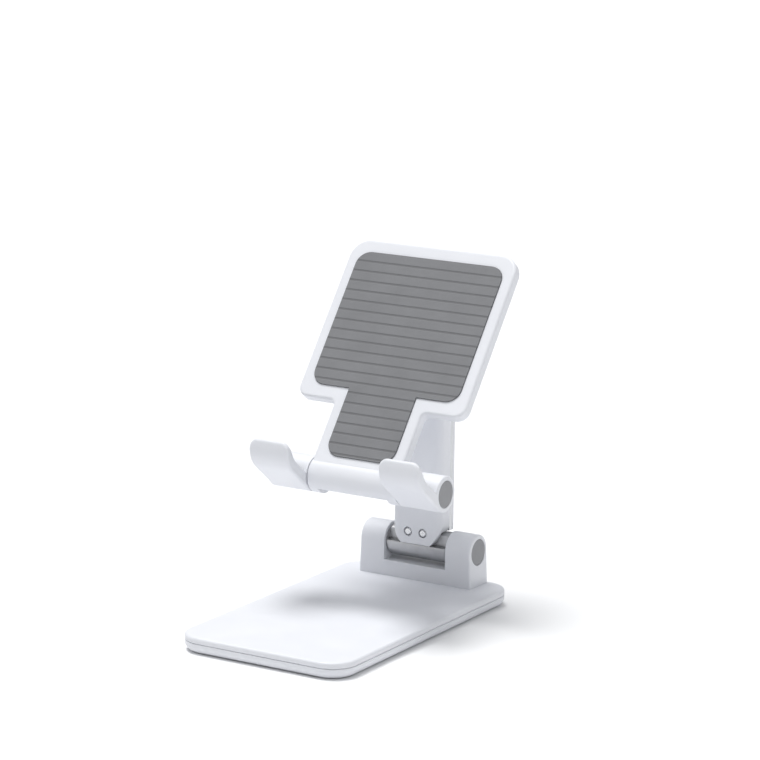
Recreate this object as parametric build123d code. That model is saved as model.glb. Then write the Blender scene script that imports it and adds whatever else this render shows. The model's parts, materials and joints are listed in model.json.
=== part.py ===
"""Folding desk phone stand: a flat base, an upright arm and a tilting cradle with two fold-out hooks.

All sizes are in millimetres. +Z is up and -Y is the front, the side that the phone faces. The
origin is on the table, under the middle of the base. The stand is the same on its left and right.
"""
from build123d import *
from math import asin, cos, radians, sin, sqrt
import os

# ---- clearances ---------------------------------------------------------------------------------
grip_gap = 0.02              # radial, around screws and pins that hold in their holes
running_gap = 0.05           # radial, around everything that turns or slides in
fit_gap = 0.1                # around pads in their seats and screws in through holes
tip_gap = 0.2                # left empty past the end of a screw or pin

# ---- base ---------------------------------------------------------------------------------------
base_width = 64.0
base_length = 111.0
base_corner = 9.0            # plan radius of the base's corners
pad_lift = 0.15              # the anti-slip pad stands this far below the tray
pad_inset = 3.0              # rim of the tray left bare around the pad
pad_recess = 0.5             # depth of the pad's seat in the tray
tray_floor = 0.9
tray_rim_top = 3.65
groove_gap = 0.1             # parting groove between the tray and the top cover
groove_edge_round = 0.3
base_top = 5.8
cover_wall = 1.6             # its skin on top
tongue_inset = 0.7           # the tray's rim steps up behind the parting groove
tongue_width = 0.8
tongue_rise = 0.45
top_edge_round = 0.9
tray_edge_round = 2.8
weight_clearance = 0.2
boss_radius = 2.6
boss_inset = 6.2             # corner screws, measured in from the base's sides and ends
block_screw_x = 17.0
block_screw_spread = 2.5     # the block's screws, each way from the hinge axis

# ---- hinge hardware, the same in both hinges ----------------------------------------------------
ear_radius = 6.05            # the rounded ends of the hinge blocks' ears
ear_outer = 21.7             # half the width over the two ears
window_half = 12.15          # half the gap between the ears
barrel_radius = 5.4
barrel_half = 11.7
barrel_end_round = 0.6
ear_edge_round = 0.7
axle_radius = 2.0
nut_seat = 16.2              # where the ear's pocket for the springs and nut begins
pocket_radius = 4.3
cap_radius = 4.55
cap_edge_round = 0.25
cap_seat = 20.2              # where the cap's wider recess begins
friction_washer = 0.4
friction_washer_radius = 4.9
spring_disc = 0.45
spring_dish = 0.25
nut_flats = 7.0
nut_height = 2.2
axle_end = 19.7

# ---- where the hinges are -----------------------------------------------------------------------
axis_y = 48.4                # both hinge axes run along X at this depth while the arm is upright
lower_axis_z = 17.6
upper_axis_z = 93.8
block_flare = 0.5            # the lower block's sides spread this much towards the base
bridge_top = 11.3            # the lower block is solid below this, between the ears

# ---- arm, measured from the hinge axes ----------------------------------------------------------
arm_half = 9.5
arm_front = 5.8              # from the axes forward to the front face
arm_rear = 4.6
arm_edge_round = 3.0
shell_end = 5.6              # the shells stop this far from each axis
shell_back = 1.1             # the front shell's back edge, behind the axes
spine_back = 2.9             # the spine's back face, behind the axes
shell_wall = 1.6
ledge_height = 0.7           # the barrel's flat ledge, above its axis
barrel_flat = 2.8            # the barrel's upright flat, in front of its axis
tongue_end = 0.9             # the shell's tongue stops this far from the axis
tongue_half = 5.7            # half the tongue's width at its end
tongue_shoulder = 7.4        # the tongue reaches the full width this far from the axis
corner_bow = 0.42            # how far the tongue's corners bulge: 0 is square and 0.5 is straight
tongue_gap = 0.15
tongue_block = 12.0          # the shell's front wall is thick as far as this from the axis
tang_half = 6.0
tang_length = 22.0           # from the axis to the end of the barrel's tang
tongue_pin_x = 2.9
tongue_pin_z = 5.05          # from the axis
tongue_pin_head = 1.3
tongue_pin_round = 0.45      # the heads are slightly domed
tongue_pin_sunk = 0.05       # the crown stands this far behind the arm's front face
tongue_pin_sink = 1.6        # radius of the counterbore around the head
tongue_pin_depth = 1.2       # depth of that counterbore
tongue_pin_radius = 0.9
tongue_pin_grip = 2.6        # depth of the pin's hole in the barrel
tang_screw_z = (11.0, 18.0)  # from the axis
peg_radius = 1.25
peg_boss_radius = 2.4
peg_floor = 0.6              # solid left in the boss in front of the peg
rear_edge_round = 1.0
peg_spread = 10.0            # the rear cover's two pegs, each way from the arm's middle

# ---- cradle, measured from the upper hinge axis -------------------------------------------------
cradle_lean = 37.7           # degrees back from upright, as stored
floor_to_axis = 63.5         # from the phone's lower edge up the cradle to the hinge axis
pad_face = 11.65             # from the axis forward to the face that the phone lies on
plate_back = 7.0
pad_proud = 0.5
pad_thickness = 1.0
pad_width = 57.0
pad_bottom = 32.0            # heights on the cradle are measured from the phone's lower edge
pad_crest = 83.0
pad_tail_width = 26.0
pad_tail_bottom = 7.0
pad_corner = 5.0
plate_half = 32.5
plate_top = 88.0
plate_step = 27.0            # the plate narrows below this, to leave room for the folded hooks
plate_top_corner = 7.0
plate_step_corner = 4.0
plate_inner_corner = 2.0
plate_edge_round = 0.9
neck_half = 17.0             # half the width of the narrow lower part
knuckle_height = 1.95        # the hook axis, above the phone's lower edge
knuckle_forward = 5.5        # the hook axis, in front of the hinge axis
knuckle_radius = 6.1         # of the knuckles and of the hooks' barrels
knuckle_inner = 13.4         # the fixed knuckles' inner ends: the arm passes between them
foot_reach = 8.2             # the upper block's feet, each way from its axis
foot_thickness = 2.6
web_thickness = 1.2
web_start = 0.5              # the web is only above the axis, clear of the arm
foot_screw_reach = 5.8

# ---- hooks, measured from the hook axis ---------------------------------------------------------
hook_inner = 17.3
hook_outer = 32.9
hook_curl = 9.3              # outer radius of the curl
curl_centre = 12.75          # from the axis forward to the curl's centre
lip_top = 1.1                # the lip's end, above the axis
lip_thickness = 2.4          # at its end
lip_corner = 3.2             # the lip's corners, seen from the front
hook_edge_round = 1.0
seam_round = 0.25            # where a hook's barrel meets its knuckle
floor_level = 2.05           # the hook's floor, below its axis
inner_curl_start = 12.9      # the floor is flat as far forward as this
hook_pad_thickness = 0.9
hook_pad_proud = 0.1
hook_pad_margin = 1.6        # from the hook's sides
hook_pad_back = 6.2
hook_pad_front = 12.6
pin_radius = 1.5
pin_start = 13.9
pin_seat = 28.7              # where the pocket for the pin's head begins
pin_head_radius = 3.0
pin_head_height = 1.6
pin_pocket_radius = 3.3
hook_cap_seat = 31.4
wave_washer = 0.4
washer_room = 0.5            # between the pocket's floor and the pin's head

# ---- small screws -------------------------------------------------------------------------------
screw_radius = 1.25          # M2.5, used in both blocks, the tangs and the feet
screw_head_radius = 2.1
screw_head_height = 0.9
corner_screw_radius = 0.9
corner_head_radius = 1.7
corner_screw_grip = 0.6      # depth of its hole in the cover's skin
block_screw_grip = 5.4       # depth of the holes in the lower block
spine_screw_depth = 2.4      # the holes through the tangs end this far in front of the axes


# ---- shapes -------------------------------------------------------------------------------------
def block(x0, x1, y0, y1, z0, z1):
    """A box between two opposite corners."""
    centre = Pos((x0 + x1) / 2, (y0 + y1) / 2, (z0 + z1) / 2)
    return centre * Box(x1 - x0, y1 - y0, z1 - z0)


def rod_x(radius, x0, x1, y=0.0, z=0.0):
    """A round bar along X, its ends given either way round."""
    return Pos((x0 + x1) / 2, y, z) * Rot(0, 90, 0) * Cylinder(radius, abs(x1 - x0))


def rod_y(radius, y0, y1, x=0.0, z=0.0):
    """A round bar along Y."""
    return Pos(x, (y0 + y1) / 2, z) * Rot(90, 0, 0) * Cylinder(radius, y1 - y0)


def rod_z(radius, z0, z1, x=0.0, y=0.0):
    """A round bar along Z."""
    return Pos(x, y, (z0 + z1) / 2) * Cylinder(radius, z1 - z0)


def slab(inset, z0, z1):
    """A layer of the base, shrunk all round by inset."""
    outline = RectangleRounded(base_width - 2 * inset, base_length - 2 * inset, base_corner - inset)
    return Pos(0, 0, z0) * extrude(outline, z1 - z0)


def upright(face, y0, y1):
    """A flat outline drawn as (across, up), stood upright and filled from depth y0 to depth y1."""
    return extrude(Plane(origin=(0, y1, 0), x_dir=(1, 0, 0), z_dir=(0, -1, 0)) * face, y1 - y0)


def both_sides(solid):
    """A solid and its mirror image on the other side of the YZ plane."""
    return [solid, mirror(solid, Plane.YZ)]


def at_lower_axis(solids):
    return [Pos(0, axis_y, lower_axis_z) * solid for solid in solids]


def at_upper_axis(solids):
    return [Pos(0, axis_y, upper_axis_z) * solid for solid in solids]


def on_cradle(solids):
    """From the cradle's upright axes, centred on the upper hinge, to its leaning place."""
    return [Pos(0, axis_y, upper_axis_z) * Rot(-cradle_lean, 0, 0) * solid for solid in solids]


def from_floor(height):
    """A height above the phone's lower edge, as a height above the upper hinge axis."""
    return height - floor_to_axis


def save(name, solids):
    """Write one node: a single solid, or several separate ones of the same kind."""
    shape = solids[0] if len(solids) == 1 else Compound(children=list(solids))
    shape.label = name
    export_step(shape, os.path.join("parts", name + ".step"))


# ---- base ---------------------------------------------------------------------------------------
tray_bottom = pad_lift
pad_top = tray_bottom + pad_recess
weight_bottom = pad_top + tray_floor
cover_bottom = tray_rim_top + groove_gap
cover_inside = base_top - cover_wall
tongue_top = tray_rim_top + tongue_rise
weight_top = cover_inside - fit_gap
weight_inset = tongue_inset + tongue_width + weight_clearance


def corner_places():
    """The four corner screws."""
    x = base_width / 2 - boss_inset
    y = base_length / 2 - boss_inset
    return [(side * x, end * y) for side in (-1, 1) for end in (-1, 1)]


def block_screw_places():
    """The four screws that hold the lower hinge block."""
    depths = (axis_y - block_screw_spread, axis_y + block_screw_spread)
    return [(side * block_screw_x, y) for side in (-1, 1) for y in depths]


def anti_slip_pad():
    return slab(pad_inset + fit_gap, 0, pad_top)


def bottom_tray():
    outer = slab(0, tray_bottom, tray_rim_top)
    outer = fillet(outer.edges().group_by(Axis.Z)[0], tray_edge_round)
    outer = fillet(outer.edges().group_by(Axis.Z)[-1], groove_edge_round)
    tray = outer + slab(tongue_inset, tray_rim_top, tongue_top)
    tray -= slab(tongue_inset + tongue_width, weight_bottom, tongue_top)
    tray -= slab(pad_inset, tray_bottom, pad_top)
    for x, y in corner_places():
        tray -= corner_screw_head(x, y, running_gap)
    return tray


def corner_screw_head(x, y, gap):
    """A countersunk head as deep as the tray's floor, grown by gap."""
    cone = Cone(corner_head_radius + gap, corner_screw_radius + gap, tray_floor)
    return Pos(x, y, pad_top + tray_floor / 2) * cone


def weight_plate():
    plate = slab(weight_inset, weight_bottom, weight_top)
    for x, y in corner_places():
        plate -= rod_z(boss_radius + weight_clearance, weight_bottom, weight_top, x, y)
    for x, y in block_screw_places():
        plate -= rod_z(screw_radius + running_gap, weight_bottom, weight_top, x, y)
        plate -= rod_z(screw_head_radius + fit_gap, weight_bottom, weight_bottom + screw_head_height, x, y)
    return plate


def top_cover():
    cover = slab(0, cover_bottom, base_top)
    cover = fillet(cover.edges().group_by(Axis.Z)[-1], top_edge_round)
    cover = fillet(cover.edges().group_by(Axis.Z)[0], groove_edge_round)
    cover -= slab(tongue_inset - running_gap, cover_bottom, cover_inside)
    for x, y in corner_places():
        cover += rod_z(boss_radius, weight_bottom, cover_inside, x, y)
        cover -= rod_z(corner_screw_radius + grip_gap, weight_bottom, cover_inside + corner_screw_grip, x, y)
    for x, y in block_screw_places():
        cover -= rod_z(screw_radius + running_gap, cover_inside, base_top, x, y)
    return cover


def corner_screws():
    screws = []
    for x, y in corner_places():
        shank = rod_z(corner_screw_radius, weight_bottom, cover_inside + corner_screw_grip - fit_gap, x, y)
        screws.append(corner_screw_head(x, y, 0) + shank)
    return screws


# ---- hinge blocks and hardware ------------------------------------------------------------------
def ear_pockets():
    """What is cut from the ears for the axle, the springs and nuts, and the caps."""
    cuts = [rod_x(axle_radius + running_gap, -ear_outer, ear_outer)]
    for side in (-1, 1):
        cuts.append(rod_x(pocket_radius, side * nut_seat, side * ear_outer))
        cuts.append(rod_x(cap_radius + running_gap, side * cap_seat, side * (ear_outer + block_flare)))
    return cuts


def lower_hinge_block():
    """A fork on the base: two round-topped ears over a low bridge."""
    drop = lower_axis_z - base_top
    width = ear_outer + block_flare
    fork = block(-width, width, -ear_radius, ear_radius, -drop, 0)
    fork += rod_x(ear_radius, -width, width)
    lean = Polyline((-width, -drop), (-ear_outer, 0), (-ear_outer, ear_radius),
                    (ear_outer, ear_radius), (ear_outer, 0), (width, -drop), close=True)
    fork &= upright(make_face(lean), -ear_radius, ear_radius)
    outer_rim = [edge for edge in fork.edges()
                 if abs(edge.center().X) > ear_outer - fit_gap and edge.center().Z > fit_gap - drop]
    fork = fillet(outer_rim, ear_edge_round)
    fork -= block(-window_half, window_half, -ear_radius, ear_radius, bridge_top - lower_axis_z, ear_radius)
    for cut in ear_pockets():
        fork -= cut
    for x, y in block_screw_places():
        fork -= rod_z(screw_radius + grip_gap, -drop, -drop + block_screw_grip, x, y - axis_y)
    return fork


def block_screws():
    screws = []
    for x, y in block_screw_places():
        head = rod_z(screw_head_radius, weight_bottom, weight_bottom + screw_head_height, x, y)
        tip = base_top + block_screw_grip - tip_gap
        shank = rod_z(screw_radius, weight_bottom + screw_head_height, tip, x, y)
        screws.append(head + shank)
    return screws


def hinge_axle():
    """A threaded stud that is held in both ears and carries a nut at each end."""
    return [rod_x(axle_radius, -axle_end, axle_end)]


def friction_washers():
    start = (barrel_half + window_half - friction_washer) / 2
    ring = rod_x(friction_washer_radius, start, start + friction_washer)
    ring -= rod_x(axle_radius + running_gap, start, start + friction_washer)
    return both_sides(ring)


def spring_discs():
    """Two dished spring discs in each ear, back to back."""
    discs = []
    inner = axle_radius + running_gap
    outer = pocket_radius - tip_gap
    start = nut_seat + grip_gap
    for first, lean in ((start, 1), (start + spring_disc + spring_dish, -1)):
        rise_inner = spring_dish if lean > 0 else 0
        rise_outer = 0 if lean > 0 else spring_dish
        section = Polyline((inner, first + rise_inner), (outer, first + rise_outer),
                           (outer, first + rise_outer + spring_disc),
                           (inner, first + rise_inner + spring_disc), close=True)
        disc = revolve(Plane.XZ * make_face(section), Axis.Z)
        discs += both_sides(Rot(0, 90, 0) * disc)
    return discs


def axle_nuts():
    start = nut_seat + 2 * (spring_disc + spring_dish + grip_gap)
    hexagon = RegularPolygon(nut_flats / 2, 6, major_radius=False)
    nut = extrude(hexagon, nut_height) - Cylinder(axle_radius + grip_gap, 4 * nut_height)
    return both_sides(Pos(start, 0, 0) * Rot(0, 90, 0) * nut)


def hinge_caps():
    return both_sides(round_cap(cap_seat, ear_outer))


def round_cap(inner_face, outer_face):
    """A flat cap with a softened outer edge, on the X axis."""
    cap = rod_x(cap_radius, inner_face, outer_face)
    return fillet(cap.edges().sort_by(Axis.X)[-1], cap_edge_round)


def upper_hinge_block():
    """Two ears on feet that are screwed to the back of the cradle plate, joined by a web."""
    arch = block(window_half, ear_outer, -plate_back, 0, -ear_radius, ear_radius)
    arch += rod_x(ear_radius, window_half, ear_outer)
    outer_rim = [edge for edge in arch.edges()
                 if edge.center().X > ear_outer - fit_gap and edge.center().Y > fit_gap - plate_back]
    arch = fillet(outer_rim, ear_edge_round)
    arch += block(window_half, ear_outer, -plate_back, -plate_back + foot_thickness, -foot_reach, foot_reach)
    fork = arch + mirror(arch, Plane.YZ)
    fork += block(-window_half, window_half, -plate_back, -plate_back + web_thickness, web_start, foot_reach)
    for cut in ear_pockets():
        fork -= cut
    for x, z in foot_screw_places():
        fork -= rod_y(screw_radius + grip_gap, -plate_back, -plate_back + foot_thickness, x, z)
    return fork


# ---- arm ----------------------------------------------------------------------------------------
def hinge_barrel():
    """The steel barrel that turns on the axle, with the tang that carries the arm."""
    barrel = rod_x(barrel_radius, -barrel_half, barrel_half)
    barrel = fillet(barrel.edges().filter_by(GeomType.CIRCLE), barrel_end_round)
    barrel -= block(-barrel_half, barrel_half, -barrel_radius, -barrel_flat, ledge_height, barrel_radius)
    barrel += block(-tang_half, tang_half, -barrel_flat, shell_back, axle_radius + running_gap, tang_length)
    barrel -= rod_x(axle_radius + running_gap, -barrel_half, barrel_half)
    for x in (-tongue_pin_x, tongue_pin_x):
        barrel -= rod_y(tongue_pin_radius + grip_gap, -barrel_flat, -barrel_flat + tongue_pin_grip,
                        x, tongue_pin_z)
    for z in tang_screw_z:
        barrel -= rod_y(screw_radius + grip_gap, -spine_screw_depth, shell_back, 0, z)
    return barrel


def flipped(solid):
    """The same piece turned end for end, for the arm's other end."""
    return mirror(solid, Plane.XY)


arm_span = upper_axis_z - lower_axis_z


def tongue_outline():
    """The front face's lower end, upright: full width at the shoulder, with two round corners."""
    corner_mid = (arm_half - corner_bow * (arm_half - tongue_half),
                  tongue_end + corner_bow * (tongue_shoulder - tongue_end))
    shoulder = Line((arm_half, tongue_block), (arm_half, tongue_shoulder))
    corner = ThreePointArc((arm_half, tongue_shoulder), corner_mid, (tongue_half, tongue_end))
    bottom = Line((tongue_half, tongue_end), (0, tongue_end))
    middle = Line((0, tongue_end), (0, tongue_block))
    top = Line((0, tongue_block), (arm_half, tongue_block))
    half = make_face(Wire([shoulder, corner, bottom, middle, top]))
    return half + mirror(half, Plane.YZ)


def arm_front_shell():
    """A channel with a thick tongue at each end that overlaps the barrel's tang."""
    middle = arm_span / 2
    tongue_back = -barrel_flat - tongue_gap
    cavity_half = arm_half - shell_wall
    cavity_front = shell_wall - arm_front
    plan = Pos(0, (shell_back - arm_front) / 2) * Rectangle(2 * arm_half, arm_front + shell_back)
    plan = fillet(plan.vertices().group_by(Axis.Y)[0], arm_edge_round)
    bar = extrude(plan, middle)
    column = bar & block(-arm_half, arm_half, -arm_front, shell_back, shell_end, middle)
    column &= upright(tongue_outline(), -arm_front, shell_back) + block(
        -arm_half, arm_half, -arm_front, shell_back, tongue_block, middle)
    column -= block(-cavity_half, cavity_half, tongue_back, shell_back, shell_end, middle)
    column -= block(-cavity_half, cavity_half, cavity_front, shell_back, tongue_block, middle)
    tongue = upright(tongue_outline(), -arm_front, tongue_back) & bar
    lower = column + tongue
    for x in (-tongue_pin_x, tongue_pin_x):
        lower -= rod_y(tongue_pin_radius + fit_gap, -arm_front, tongue_back, x, tongue_pin_z)
        lower -= rod_y(tongue_pin_sink, -arm_front, -arm_front + tongue_pin_depth, x, tongue_pin_z)
    lower += rod_y(peg_boss_radius, cavity_front - fit_gap, shell_back, 0, middle - peg_spread)
    lower -= rod_y(peg_radius + running_gap, cavity_front + peg_floor, shell_back, 0, middle - peg_spread)
    return lower + Pos(0, 0, arm_span) * flipped(lower)


def spine_plate():
    """The flat strip between the two shells, which ties the tangs together."""
    spine = block(-arm_half, arm_half, shell_back, spine_back, shell_end, arm_span - shell_end)
    for z in spine_screw_heights():
        spine -= rod_y(screw_radius + fit_gap, shell_back, spine_back, 0, z)
    for z in peg_heights():
        spine -= rod_y(peg_radius + fit_gap, shell_back, spine_back, 0, z)
    return spine


def peg_heights():
    return (arm_span / 2 - peg_spread, arm_span / 2 + peg_spread)


def spine_screw_heights():
    return tang_screw_z + tuple(arm_span - z for z in tang_screw_z)


def spine_screws():
    screws = []
    for z in spine_screw_heights():
        shank = rod_y(screw_radius, tip_gap - spine_screw_depth, spine_back, 0, z)
        head = rod_y(screw_head_radius, spine_back, spine_back + screw_head_height, 0, z)
        screws.append(shank + head)
    return screws


def arm_rear_cover():
    cover = block(-arm_half, arm_half, spine_back, arm_rear, shell_end, arm_span - shell_end)
    cover = fillet(cover.edges().group_by(Axis.Y)[-1], rear_edge_round)
    recess_back = spine_back + screw_head_height + running_gap
    for z in spine_screw_heights():
        cover -= rod_y(screw_head_radius + fit_gap, spine_back, recess_back, 0, z)
    peg_tip = shell_wall - arm_front + peg_floor + tip_gap
    for z in peg_heights():
        cover += rod_y(peg_radius, peg_tip, arm_rear - rear_edge_round, 0, z)
    return cover


def tongue_pins():
    pins = []
    for x in (-tongue_pin_x, tongue_pin_x):
        seat = -arm_front + tongue_pin_depth
        head = rod_y(tongue_pin_head, -arm_front + tongue_pin_sunk, seat, x, tongue_pin_z)
        head = fillet(head.edges().sort_by(Axis.Y)[0], tongue_pin_round)
        shank = rod_y(tongue_pin_radius, seat, -barrel_flat + tongue_pin_grip - tip_gap, x, tongue_pin_z)
        pins.append(head + shank)
    return pins


# ---- cradle -------------------------------------------------------------------------------------
knuckle_y = -knuckle_forward
knuckle_z = from_floor(knuckle_height)
plate_front = pad_face - pad_proud


def foot_screw_places():
    x = (window_half + ear_outer) / 2
    return [(side * x, end * foot_screw_reach) for side in (-1, 1) for end in (-1, 1)]


def plate_outline():
    """The plate's face, upright: wide above the step and narrow below it."""
    wide_height = plate_top - plate_step
    wide = Pos(0, from_floor(plate_step + wide_height / 2)) * Rectangle(2 * plate_half, wide_height)
    wide = fillet(wide.vertices().group_by(Axis.Y)[-1], plate_top_corner)
    wide = fillet(wide.vertices().group_by(Axis.Y)[0], plate_step_corner)
    neck_height = plate_step + plate_step_corner - knuckle_height
    neck = Pos(0, from_floor(knuckle_height + neck_height / 2)) * Rectangle(2 * neck_half, neck_height)
    face = wide + neck
    inner = [v for v in face.vertices()
             if abs(abs(v.X) - neck_half) < grip_gap and abs(v.Y - from_floor(plate_step)) < grip_gap]
    return fillet(inner, plate_inner_corner)


def pad_outline(grow):
    """The soft pad's face, upright, grown all round by grow: a wide part and a tail to the neck."""
    face = Sketch()
    for width, bottom in ((pad_width, pad_bottom), (pad_tail_width, pad_tail_bottom)):
        height = pad_crest - bottom
        part = RectangleRounded(width + 2 * grow, height + 2 * grow, pad_corner + grow)
        face += Pos(0, from_floor(bottom + height / 2)) * part
    return face


def cradle_plate():
    plate = upright(plate_outline(), -plate_front, -plate_back)
    rims = plate.edges().group_by(Axis.Y)[0] + plate.edges().group_by(Axis.Y)[-1]
    plate = fillet(rims.filter_by(lambda edge: edge.center().Z > knuckle_z + fit_gap), plate_edge_round)
    roll = rod_x(knuckle_radius, -neck_half, neck_half, knuckle_y, knuckle_z)
    roll = fillet(roll.edges().filter_by(GeomType.CIRCLE), seam_round)
    roll -= block(-knuckle_inner, knuckle_inner, -plate_back, knuckle_y + knuckle_radius,
                  knuckle_z - knuckle_radius, knuckle_z + knuckle_radius)
    plate += roll
    plate -= upright(pad_outline(fit_gap), -plate_front, -pad_face + pad_thickness)
    recess_back = pad_thickness - pad_face + screw_head_height
    for x, z in foot_screw_places():
        plate -= rod_y(screw_radius + fit_gap, -plate_front, -plate_back, x, z)
        plate -= rod_y(screw_head_radius + fit_gap, -plate_front, recess_back, x, z)
    for side in (-1, 1):
        plate -= rod_x(pin_radius + grip_gap, side * pin_start, side * neck_half, knuckle_y, knuckle_z)
    return plate


def cradle_pad():
    return upright(pad_outline(0), -pad_face, -pad_face + pad_thickness)


def foot_screws():
    screws = []
    top = pad_thickness - pad_face
    for x, z in foot_screw_places():
        head = rod_y(screw_head_radius, top, top + screw_head_height, x, z)
        shank = rod_y(screw_radius, top + screw_head_height, -plate_back + foot_thickness - tip_gap, x, z)
        screws.append(head + shank)
    return screws


def hook_pins():
    head = pin_seat + washer_room
    pin = rod_x(pin_radius, pin_start, head, knuckle_y, knuckle_z)
    pin += rod_x(pin_head_radius, head, head + pin_head_height, knuckle_y, knuckle_z)
    return both_sides(pin)


# ---- hooks: +X side, built about the hook axis --------------------------------------------------
def hook_profile():
    """Side view of the hook as (forward, up): a floor under the phone that curls into a lip."""
    outer_reach = sqrt(hook_curl ** 2 - (hook_curl - knuckle_radius - lip_top) ** 2)
    tip_outer = (curl_centre + outer_reach, lip_top)
    tip_inner = (curl_centre + outer_reach - lip_thickness, lip_top)
    curl_mid_angle = radians(-60)
    curl_mid = (curl_centre + hook_curl * cos(curl_mid_angle),
                hook_curl - knuckle_radius + hook_curl * sin(curl_mid_angle))
    run = tip_inner[0] - inner_curl_start
    rise = lip_top + floor_level
    inner_radius = (run ** 2 + rise ** 2) / (2 * rise)
    half_angle = asin(run / inner_radius) / 2
    inner_mid = (inner_curl_start + inner_radius * sin(half_angle),
                 inner_radius - floor_level - inner_radius * cos(half_angle))
    under = Line((0, -knuckle_radius), (curl_centre, -knuckle_radius))
    curl = ThreePointArc((curl_centre, -knuckle_radius), curl_mid, tip_outer)
    tip = Line(tip_outer, tip_inner)
    inner = ThreePointArc(tip_inner, inner_mid, (inner_curl_start, -floor_level))
    floor = Line((inner_curl_start, -floor_level), (0, -floor_level))
    back = Line((0, -floor_level), (0, -knuckle_radius))
    return Wire([under, curl, tip, inner, floor, back])


def hook():
    """The right-hand hook: a barrel round the pin, the floor and the rounded lip."""
    side_view = Plane(origin=(hook_inner, 0, 0), x_dir=(0, -1, 0), z_dir=(-1, 0, 0))
    strip = extrude(side_view * make_face(hook_profile()), hook_inner - hook_outer)
    width = hook_outer - hook_inner
    height = lip_top + knuckle_radius
    front_view = Pos(hook_inner + width / 2, lip_top - height) * Rectangle(width, 2 * height)
    front_view = fillet(front_view.vertices().group_by(Axis.Y)[-1], lip_corner)
    strip &= upright(front_view, -curl_centre - hook_curl, 0)
    across = strip.edges().filter_by(Axis.X).filter_by(lambda edge: edge.center().Z < lip_top - fit_gap)
    rim = [edge for edge in strip.edges() if edge.center().Y < -fit_gap and edge not in across]
    strip = fillet(rim, hook_edge_round)
    barrel = rod_x(knuckle_radius, hook_inner, hook_outer)
    barrel = fillet(barrel.edges().sort_by(Axis.X)[0], seam_round)
    barrel = fillet(barrel.edges().sort_by(Axis.X)[-1], barrel_end_round)
    body = strip + barrel
    body -= rod_x(pin_radius + running_gap, hook_inner, hook_outer)
    body -= rod_x(pin_pocket_radius, pin_seat, hook_outer)
    body -= rod_x(cap_radius + running_gap, hook_cap_seat, hook_outer)
    return body - hook_pad(fit_gap)


def hook_pad(grow=0.0):
    """The soft strip set into the hook's floor, with its outline grown by grow."""
    top = hook_pad_proud - floor_level
    return block(hook_inner + hook_pad_margin - grow, hook_outer - hook_pad_margin + grow,
                 -hook_pad_front - grow, -hook_pad_back + grow, top - hook_pad_thickness, top)


def hook_washer():
    start = pin_seat + (washer_room - wave_washer) / 2
    ring = rod_x(pin_head_radius, start, start + wave_washer)
    return ring - rod_x(pin_radius + running_gap, start, start + wave_washer)


def hook_cap():
    return round_cap(hook_cap_seat, hook_outer)


def on_hook_axis(solid, side):
    """Place a hook piece on the cradle: side is 1 for the right and -1 for the left."""
    placed = Pos(0, knuckle_y, knuckle_z) * solid
    return on_cradle([placed if side > 0 else mirror(placed, Plane.YZ)])


# ---- write the nodes ----------------------------------------------------------------------------
os.makedirs("parts", exist_ok=True)

save("anti_slip_pad", [anti_slip_pad()])
save("base_bottom_tray", [bottom_tray()])
save("base_weight_plate", [weight_plate()])
save("base_top_cover", [top_cover()])
save("base_corner_screws", corner_screws())
save("lower_hinge_block", at_lower_axis([lower_hinge_block()]))
save("lower_block_screws", block_screws())

for level, place in (("lower", at_lower_axis), ("upper", on_cradle)):
    save(level + "_hinge_axle", place(hinge_axle()))
    save(level + "_friction_washers", place(friction_washers()))
    save(level + "_spring_discs", place(spring_discs()))
    save(level + "_axle_nuts", place(axle_nuts()))
    save(level + "_hinge_caps", place(hinge_caps()))

save("lower_hinge_barrel", at_lower_axis([hinge_barrel()]))
save("upper_hinge_barrel", at_upper_axis([flipped(hinge_barrel())]))
save("arm_front_shell", at_lower_axis([arm_front_shell()]))
save("arm_spine_plate", at_lower_axis([spine_plate()]))
save("arm_spine_screws", at_lower_axis(spine_screws()))
save("arm_rear_cover", at_lower_axis([arm_rear_cover()]))
save("lower_tongue_pins", at_lower_axis(tongue_pins()))
save("upper_tongue_pins", at_upper_axis([flipped(pin) for pin in tongue_pins()]))

save("cradle_plate", on_cradle([cradle_plate()]))
save("cradle_pad", on_cradle([cradle_pad()]))
save("upper_hinge_block", on_cradle([upper_hinge_block()]))
save("upper_block_screws", on_cradle(foot_screws()))
save("hook_pins", on_cradle(hook_pins()))

for name, side in (("right", 1), ("left", -1)):
    save(name + "_hook", on_hook_axis(hook(), side))
    save(name + "_hook_pad", on_hook_axis(hook_pad(), side))
    save(name + "_hook_washer", on_hook_axis(hook_washer(), side))
    save(name + "_hook_cap", on_hook_axis(hook_cap(), side))
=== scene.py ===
"""Looks for the folding phone stand.

Every CAD node gets a procedural finish, on a pale floor in soft studio light, seen by one camera.
"""

import json
from math import radians

import bmesh
import bpy
from mathutils import Matrix, Vector

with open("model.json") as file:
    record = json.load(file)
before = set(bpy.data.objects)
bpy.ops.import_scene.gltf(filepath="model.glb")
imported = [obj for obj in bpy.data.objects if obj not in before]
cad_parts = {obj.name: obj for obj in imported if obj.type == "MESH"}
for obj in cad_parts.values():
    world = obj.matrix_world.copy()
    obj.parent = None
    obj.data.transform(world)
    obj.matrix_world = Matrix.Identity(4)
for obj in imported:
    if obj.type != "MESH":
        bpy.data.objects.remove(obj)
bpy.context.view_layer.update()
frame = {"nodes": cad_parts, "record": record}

mm = 0.001

# ---- camera: where the photograph was taken from, in metres and degrees -------------------------------
camera_place = (0.5619, -0.9055, 0.3186)
camera_turn = 31.31          # to the left of straight ahead
camera_drop = 12.42          # below level
camera_roll = 0.71
camera_lens = 157.8          # in mm, as the sensor is
camera_sensor = 36.0
nearest_seen = 0.01
farthest_seen = 50.0

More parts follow.
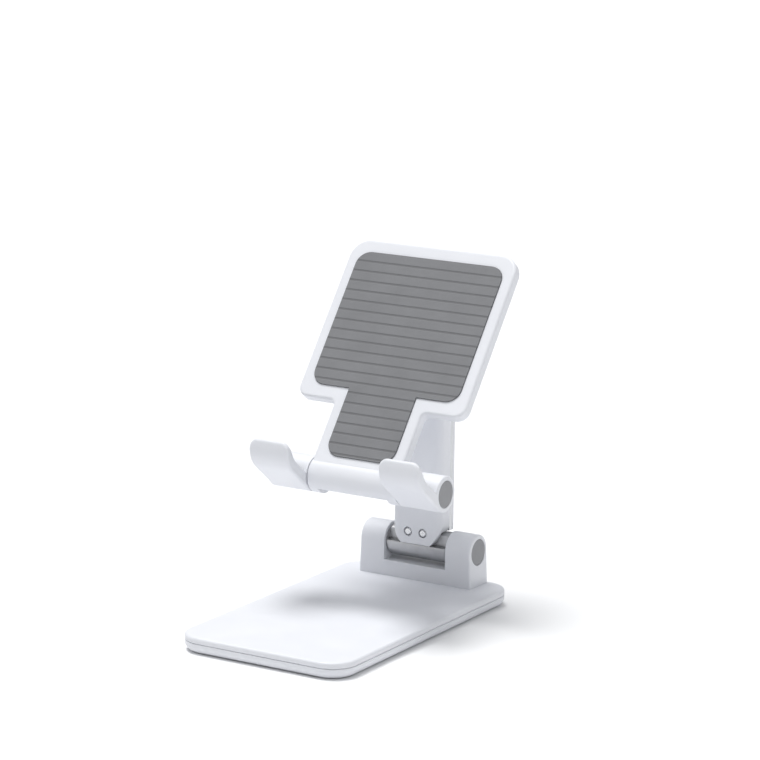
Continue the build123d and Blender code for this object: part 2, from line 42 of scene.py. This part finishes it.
# ---- light --------------------------------------------------------------------------------------------
room_glow = 0.27             # light from the walls of the room
ceiling_glow = 0.68          # and from its ceiling
walls_end = 0.15             # the glow changes from one to the other between these heights,
ceiling_starts = 0.85        # where 0 is level and 1 is straight up
glow_colour = (0.98, 0.99, 1.0)
# name, strength, how wide it looks in degrees, azimuth from the front towards +X, height in degrees
lamps = (
    ("overhead", 2.30, 26.0, -92.0, 77.0),
    ("right_side", 0.20, 60.0, 84.0, 22.0),
)

# ---- floor --------------------------------------------------------------------------------------------
floor_radius = 6.0
floor_sides = 96

# ---- colours, linear ----------------------------------------------------------------------------------
white_plastic = (0.800, 0.812, 0.850)
white_plastic_dim = (0.772, 0.784, 0.826)
cap_grey = (0.288, 0.291, 0.305)
pad_grey = (0.215, 0.218, 0.228)
rubber_grey = (0.060, 0.060, 0.064)
barrel_metal = (0.500, 0.503, 0.515)
strip_metal = (0.640, 0.650, 0.670)
pin_metal = (0.780, 0.785, 0.800)
screw_metal = (0.430, 0.430, 0.440)
floor_pale = (0.890, 0.893, 0.900)


# ---- node helpers -------------------------------------------------------------------------------------
def new_material(name):
    """A material, its node tree, its Principled shader and the object's own coordinates in metres."""
    material = bpy.data.materials.new(name)
    material.use_nodes = True
    tree = material.node_tree
    shader = tree.nodes["Principled BSDF"]
    place = tree.nodes.new("ShaderNodeTexCoord").outputs["Object"]
    return material, tree, shader, place


def set_input(tree, socket, value):
    """Link the input to another node's output, or give it a colour or a plain value."""
    if isinstance(value, bpy.types.NodeSocket):
        tree.links.new(value, socket)
    elif socket.type == "RGBA":
        socket.default_value = (*value, 1.0)
    else:
        socket.default_value = value


def add(tree, kind, inputs, **settings):
    """A new node with its settings made and its inputs set to a value or linked to an output."""
    node = tree.nodes.new(kind)
    for name, value in settings.items():
        setattr(node, name, value)
    for name, value in inputs.items():
        set_input(tree, node.inputs[name], value)
    return node


def plug(tree, shader, **values):
    """Set or link the shader's inputs: base_color=... is for "Base Color"."""
    for name, value in values.items():
        title = name.replace("_", " ").title().replace("Ior", "IOR")
        set_input(tree, shader.inputs[title], value)


def stretched(tree, place, scale):
    """The coordinates times a scale for each axis: under 1 draws a pattern out along that axis."""
    return add(tree, "ShaderNodeMapping", {"Vector": place, "Scale": scale}).outputs["Vector"]


def noise(tree, place, size, detail=3.0, rough=0.5):
    """Cloudy values from 0 to 1 with features of about that size in metres."""
    inputs = {"Vector": place, "Scale": 1 / size, "Detail": detail, "Roughness": rough}
    return add(tree, "ShaderNodeTexNoise", inputs).outputs["Fac"]


def between(tree, value, low, high, from_low=0.3, from_high=0.7):
    """Value carried from one range to another and kept inside it. Most noise lies in 0.3 to 0.7."""
    inputs = {"Value": value, "From Min": from_low, "From Max": from_high, "To Min": low, "To Max": high}
    return add(tree, "ShaderNodeMapRange", inputs).outputs["Result"]


def blend(tree, factor, first, second):
    """The first colour where the factor is 0 and the second where it is 1."""
    node = add(tree, "ShaderNodeMix", {"Factor": factor}, data_type="RGBA")
    # The node gives its number, vector and colour sockets the same names, so these go by their places.
    first_colour, second_colour, mixed_colour = node.inputs[6], node.inputs[7], node.outputs[2]
    set_input(tree, first_colour, first)
    set_input(tree, second_colour, second)
    return mixed_colour


def shade(colour, amount):
    """The colour made darker, or paler when the amount is over 1."""
    return tuple(amount * part for part in colour)


def mottled(tree, pattern, colour, amount):
    """The colour in the pattern's low parts, turning to that shade of it in the high parts."""
    return blend(tree, between(tree, pattern, low=0.0, high=1.0), colour, shade(colour, amount))


def soft_edges(tree, radius):
    """A surface direction that rounds sharp edges over that radius in metres."""
    return add(tree, "ShaderNodeBevel", {"Radius": radius}, samples=4).outputs["Normal"]


def raised(tree, heights, depth, under=None):
    """A surface direction bumped by heights from 0 to 1 that stand for a depth in metres."""
    inputs = {"Height": heights, "Distance": depth, "Strength": 1.0}
    if under is not None:
        inputs["Normal"] = under
    return add(tree, "ShaderNodeBump", inputs).outputs["Normal"]


# ---- materials ----------------------------------------------------------------------------------------
def moulded_white():
    """Satin white plastic: a fine spark-eroded grain, faint flow clouds and handling marks."""
    material, tree, shader, place = new_material("moulded_white")
    clouds = between(tree, noise(tree, place, size=22 * mm, detail=4.0), low=0.0, high=1.0)
    grain = noise(tree, place, size=0.32 * mm, detail=2.0)
    upright = stretched(tree, place, scale=(1.0, 1.0, 0.35))
    smears = noise(tree, upright, size=6 * mm, detail=5.0, rough=0.6)
    plug(tree, shader,
         base_color=blend(tree, clouds, white_plastic, white_plastic_dim),
         roughness=between(tree, smears, low=0.36, high=0.50),
         normal=raised(tree, grain, depth=0.006 * mm, under=soft_edges(tree, radius=0.25 * mm)),
         ior=1.48)
    return material


def grey_cap():
    """The caps' darker plastic, with the same grain but a flatter sheen."""
    material, tree, shader, place = new_material("grey_cap")
    clouds = noise(tree, place, size=3 * mm, detail=4.0)
    grain = noise(tree, place, size=0.25 * mm, detail=2.0)
    plug(tree, shader,
         base_color=mottled(tree, clouds, cap_grey, amount=0.93),
         roughness=between(tree, grain, low=0.42, high=0.56),
         normal=raised(tree, grain, depth=0.008 * mm, under=soft_edges(tree, radius=0.2 * mm)))
    return material


def ribbed_pad():
    """Soft grey elastomer with broad ribs parted by fine grooves, so that a phone doesn't slide. The grooves
    carry painted shade.
    """
    material, tree, shader, place = new_material("ribbed_pad")
    # The wave texture repeats every 0.314 / Scale, so the ribs are 3 mm apart.
    wave = {"Vector": place, "Scale": 1 / (9.5 * mm), "Distortion": 0.0}
    waves = add(tree, "ShaderNodeTexWave", wave, bands_direction="Z", wave_profile="SIN").outputs["Fac"]
    ribs = between(tree, waves, low=0.0, high=1.0, from_low=0.02, from_high=0.16)
    dust = noise(tree, place, size=0.5 * mm, detail=4.0, rough=0.7)
    clouds = noise(tree, place, size=9 * mm, detail=4.0)
    on_ribs = mottled(tree, clouds, pad_grey, amount=0.90)
    # Painted shade: the grooves are coloured darker than the ribs, standing in for the shade that falls in
    # them.
    groove_painted_shade = shade(pad_grey, amount=0.68)
    dusty = raised(tree, dust, depth=0.01 * mm)
    plug(tree, shader,
         base_color=blend(tree, ribs, groove_painted_shade, on_ribs),
         roughness=between(tree, dust, low=0.62, high=0.80),
         normal=raised(tree, ribs, depth=0.12 * mm, under=dusty))
    return material


def table_rubber():
    """The dark sheet under the base, with a pebbled surface that grips the table."""
    material, tree, shader, place = new_material("table_rubber")
    cells = {"Vector": place, "Scale": 1 / (0.9 * mm)}
    pebbles = add(tree, "ShaderNodeTexVoronoi", cells).outputs["Distance"]
    dust = between(tree, noise(tree, place, size=4 * mm, detail=5.0, rough=0.65), low=0.0, high=1.0)
    plug(tree, shader,
         base_color=blend(tree, dust, rubber_grey, shade(rubber_grey, amount=1.7)),
         roughness=between(tree, dust, low=0.78, high=0.92, from_low=0.0, from_high=1.0),
         normal=raised(tree, pebbles, depth=0.08 * mm))
    return material


def turned_metal(name, colour, glossiest, dullest):
    """Satin metal with fine lines round the X axis, as from a lathe."""
    material, tree, shader, place = new_material(name)
    round_x = stretched(tree, place, scale=(1.0, 0.06, 0.06))
    lines = noise(tree, round_x, size=0.12 * mm, detail=3.0, rough=0.6)
    patches = noise(tree, place, size=2.5 * mm, detail=4.0)
    plug(tree, shader,
         base_color=mottled(tree, patches, colour, amount=0.90),
         roughness=between(tree, lines, low=glossiest, high=dullest),
         metallic=0.85,
         normal=raised(tree, lines, depth=0.004 * mm, under=soft_edges(tree, radius=0.15 * mm)))
    return material


def brushed_strip():
    """The arm's spine: sheet metal brushed along its length."""
    material, tree, shader, place = new_material("brushed_strip")
    upright = stretched(tree, place, scale=(1.0, 1.0, 0.04))
    lines = noise(tree, upright, size=0.15 * mm, detail=3.0, rough=0.6)
    plug(tree, shader,
         base_color=mottled(tree, lines, strip_metal, amount=0.88),
         roughness=between(tree, lines, low=0.28, high=0.42),
         metallic=0.9,
         normal=raised(tree, lines, depth=0.004 * mm, under=soft_edges(tree, radius=0.1 * mm)))
    return material


def domed_pin():
    """Bright pressed pin heads with a few tiny marks."""
    material, tree, shader, place = new_material("domed_pin")
    marks = noise(tree, place, size=0.35 * mm, detail=4.0, rough=0.65)
    plug(tree, shader,
         base_color=mottled(tree, marks, pin_metal, amount=0.82),
         roughness=between(tree, marks, low=0.20, high=0.34),
         metallic=0.95,
         normal=raised(tree, marks, depth=0.004 * mm, under=soft_edges(tree, radius=0.1 * mm)))
    return material


def plated_screw():
    """Zinc-plated steel, slightly mottled."""
    material, tree, shader, place = new_material("plated_screw")
    mottle = noise(tree, place, size=0.8 * mm, detail=5.0, rough=0.6)
    plug(tree, shader,
         base_color=mottled(tree, mottle, screw_metal, amount=0.7),
         roughness=between(tree, mottle, low=0.30, high=0.46),
         metallic=1.0,
         normal=raised(tree, mottle, depth=0.006 * mm, under=soft_edges(tree, radius=0.1 * mm)))
    return material


def pale_floor():
    """Matt studio paper, very slightly uneven."""
    material, tree, shader, place = new_material("pale_floor")
    clouds = noise(tree, place, size=0.4, detail=3.0)
    plug(tree, shader,
         base_color=mottled(tree, clouds, floor_pale, amount=1.01),
         roughness=0.9,
         specular_ior_level=0.1)
    return material


# ---- finishes for the record's material slots ---------------------------------------------------------
def dress(piece, material):
    """Give every slot of the piece that material, without touching its mesh."""
    for slot in piece.material_slots:
        slot.link = "OBJECT"
        slot.material = material


def dress_nodes():
    """Every CAD node takes the finish of its slot in the record, but for the darker sheet under the base."""
    finishes = {
        "white_plastic": moulded_white(),
        "grey_cap_plastic": grey_cap(),
        "soft_grey_rubber": ribbed_pad(),
        "satin_barrel_metal": turned_metal("barrel_metal", barrel_metal, glossiest=0.30, dullest=0.42),
        "strip_metal": brushed_strip(),
        "plain_steel": turned_metal("plain_steel", screw_metal, glossiest=0.26, dullest=0.40),
        "bright_pin_steel": domed_pin(),
        "screw_steel": plated_screw(),
    }
    slots = {part["node"]: part["material_slot"] for part in frame["record"]["subparts"]}
    for name, piece in frame["nodes"].items():
        dress(piece, finishes[slots[name]])
    dress(frame["nodes"]["anti_slip_pad"], table_rubber())


# ---- stage --------------------------------------------------------------------------------------------
def make_floor():
    """A wide pale disc under the stand."""
    mesh = bpy.data.meshes.new("floor")
    disc = bmesh.new()
    bmesh.ops.create_circle(disc, cap_ends=True, radius=floor_radius, segments=floor_sides)
    disc.to_mesh(mesh)
    disc.free()
    floor = bpy.data.objects.new("floor", mesh)
    mesh.materials.append(pale_floor())
    bpy.context.collection.objects.link(floor)


def make_lamps():
    """Wide, far-off lamps, each turned down from straight overhead to its own height."""
    for name, strength, width, azimuth, height in lamps:
        lamp = bpy.data.lights.new(name, "SUN")
        lamp.energy = strength
        lamp.angle = radians(width)
        holder = bpy.data.objects.new(name, lamp)
        tilt = Matrix.Rotation(radians(90 - height), 4, "X")
        holder.matrix_world = Matrix.Rotation(radians(azimuth), 4, "Z") @ tilt
        bpy.context.collection.objects.link(holder)


def make_world():
    """A plain room whose ceiling glows more than its walls."""
    world = bpy.data.worlds.new("studio")
    world.use_nodes = True
    tree = world.node_tree
    direction = tree.nodes.new("ShaderNodeTexCoord").outputs["Generated"]
    height = add(tree, "ShaderNodeSeparateXYZ", {"Vector": direction}).outputs["Z"]
    glow = between(tree, height, room_glow, ceiling_glow, from_low=walls_end, from_high=ceiling_starts)
    background = tree.nodes["Background"]
    set_input(tree, background.inputs["Color"], glow_colour)
    set_input(tree, background.inputs["Strength"], glow)
    bpy.context.scene.world = world


def make_camera():
    """The camera at the photograph's viewing angle."""
    data = bpy.data.cameras.new("photo_camera")
    data.lens = camera_lens
    data.sensor_width = camera_sensor
    data.clip_start = nearest_seen
    data.clip_end = farthest_seen
    camera = bpy.data.objects.new("photo_camera", data)
    turn = Matrix.Rotation(radians(camera_turn), 4, "Z")
    drop = Matrix.Rotation(radians(90 - camera_drop), 4, "X")
    roll = Matrix.Rotation(radians(camera_roll), 4, "Z")
    camera.matrix_world = Matrix.Translation(Vector(camera_place)) @ turn @ drop @ roll
    bpy.context.collection.objects.link(camera)
    bpy.context.scene.camera = camera


dress_nodes()
make_floor()
make_lamps()
make_world()
make_camera()
bpy.context.scene.view_settings.view_transform = "Standard"
